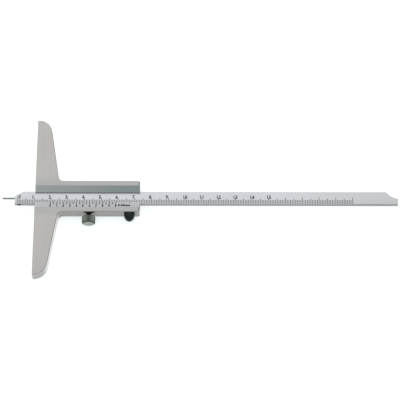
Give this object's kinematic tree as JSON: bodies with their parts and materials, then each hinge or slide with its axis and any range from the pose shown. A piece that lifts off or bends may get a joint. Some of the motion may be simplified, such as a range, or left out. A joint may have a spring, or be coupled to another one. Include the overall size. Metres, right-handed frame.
{
  "type": "depth gauge",
  "caption": "Vernier depth gauge: a tapered bridge with a slider, a flat graduated rail with a thin measuring pin, a knurled lock screw and a domed drag screw.",
  "frame": {"origin": "centre of the bridge's measuring face, on the axis of the rail", "axes": "+X along the rail, away from the work; +Y along the bridge; +Z out of the scale side. The gauge lies on its back, at Z = -4 mm"},
  "size_m": [0.2363, 0.1, 0.008],
  "materials": {
    "ground_steel": "fine ground, slightly warm",
    "satin_chrome": "satin chrome, cool and matt",
    "screw_steel": "darkened",
    "spring_bronze": "rolled strip",
    "pin_steel": "hardened and ground",
    "pad_brass": "turned",
    "knurled_steel": "knurled, nickel plated",
    "black_finish": "black, half gloss"
  },
  "bodies": {
    "slider": {"bridge_body": "ground_steel", "vernier_plate": "satin_chrome", "vernier_screws": "screw_steel", "gib_spring": "spring_bronze"},
    "rail": {"rail": "satin_chrome", "measuring_pin": "pin_steel", "pin_set_screw": "screw_steel"},
    "lock_pad": {"lock_pad": "pad_brass"},
    "lock_screw": {"lock_screw": "knurled_steel"},
    "drag_screw": {"drag_screw": "black_finish"}
  },
  "joints": [
    {"name": "rail_slide", "type": "slide", "parent": "slider", "child": "rail", "axis": [-1, 0, 0], "range_m": [-0.0198, 0.1802]},
    {"name": "pad_advance", "type": "slide", "parent": "slider", "child": "lock_pad", "axis": [0, 1, 0], "range_m": [-0.0005, 0.000076]},
    {"name": "lock_turn", "type": "hinge", "parent": "lock_pad", "child": "lock_screw", "pos_m": [0.0321, -0.01, 0], "axis": [0, 1, 0], "range_deg": [-361, 55]},
    {"name": "drag_turn", "type": "hinge", "parent": "slider", "child": "drag_screw", "pos_m": [0.0563, -0.01, 0], "axis": [0, 1, 0], "range_deg": [-90, 90]}
  ],
  "couplings": [
    {"joint": "lock_turn", "follows": "pad_advance", "rad_per_m": 12566}
  ]
}
